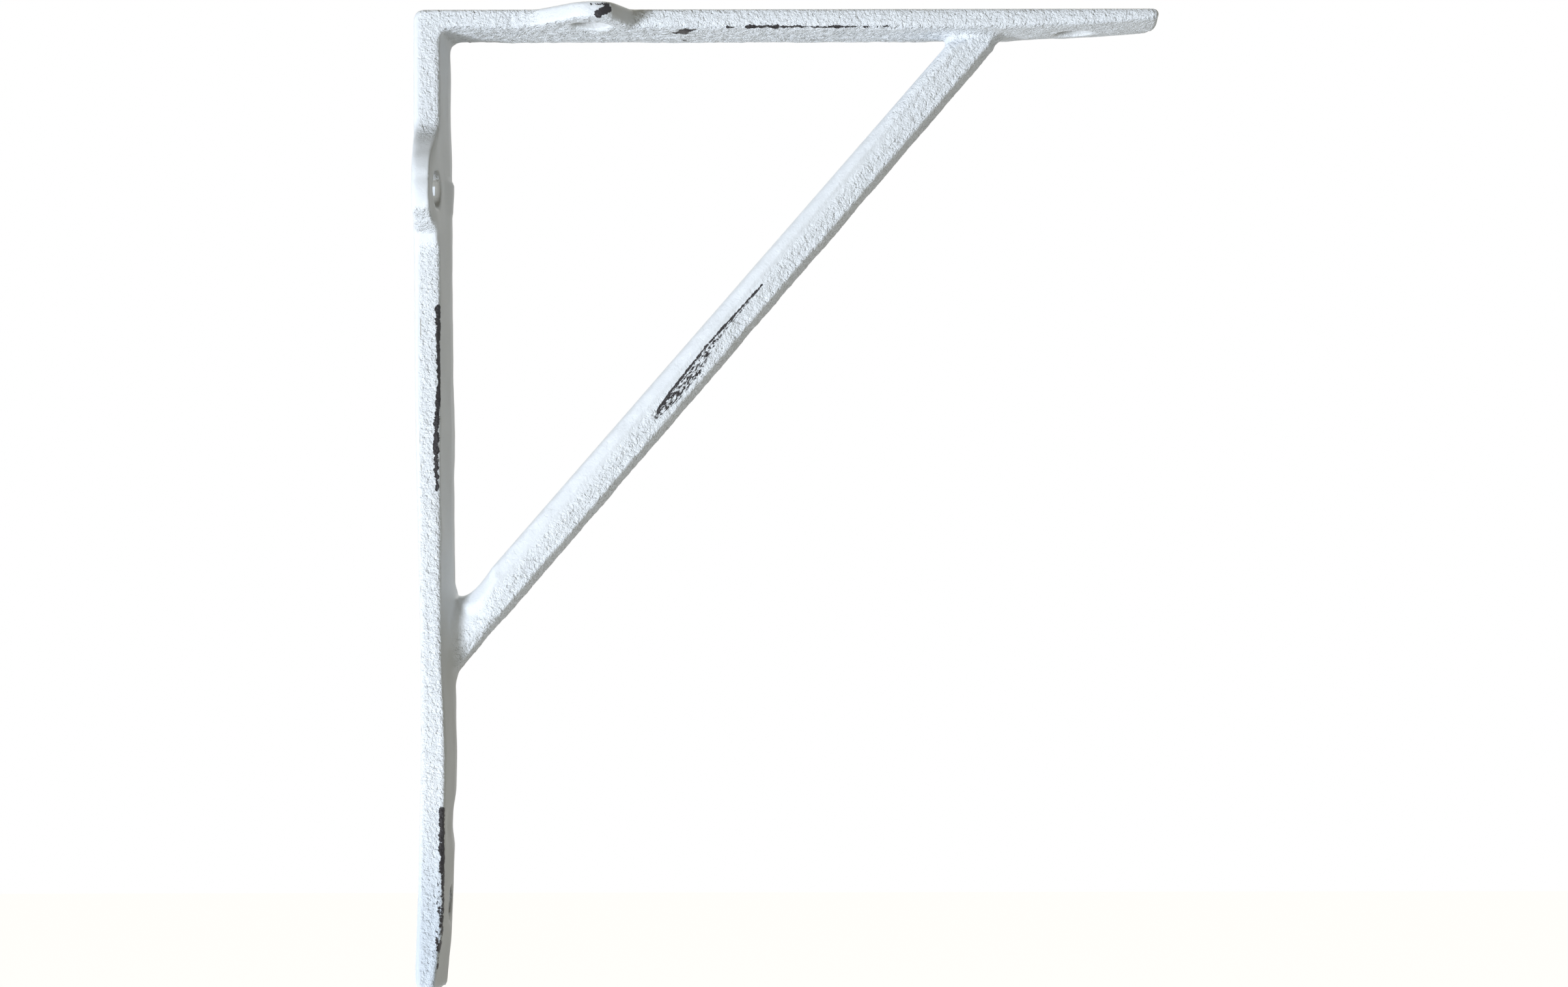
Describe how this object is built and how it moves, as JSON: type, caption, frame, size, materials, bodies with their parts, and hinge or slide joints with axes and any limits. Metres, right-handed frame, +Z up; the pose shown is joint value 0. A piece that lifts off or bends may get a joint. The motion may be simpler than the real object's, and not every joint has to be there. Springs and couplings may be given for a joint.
{
  "type": "shelf bracket",
  "caption": "Cast shelf bracket: two arms at a right angle, a diagonal brace, and screw holes in side lugs and in the arm tips.",
  "frame": {"origin": "on the wall face, on the casting's middle plane, level with the centre of the upper wall screw hole", "axes": "+X out from the wall under the shelf, +Z up, +Y across the width, away from the lugs"},
  "size_m": [0.141, 0.03, 0.1853],
  "materials": {
    "painted_iron": "chipped white paint over dark sand-cast iron"
  },
  "bodies": {
    "root": {"bracket": "painted_iron"}
  },
  "joints": []
}
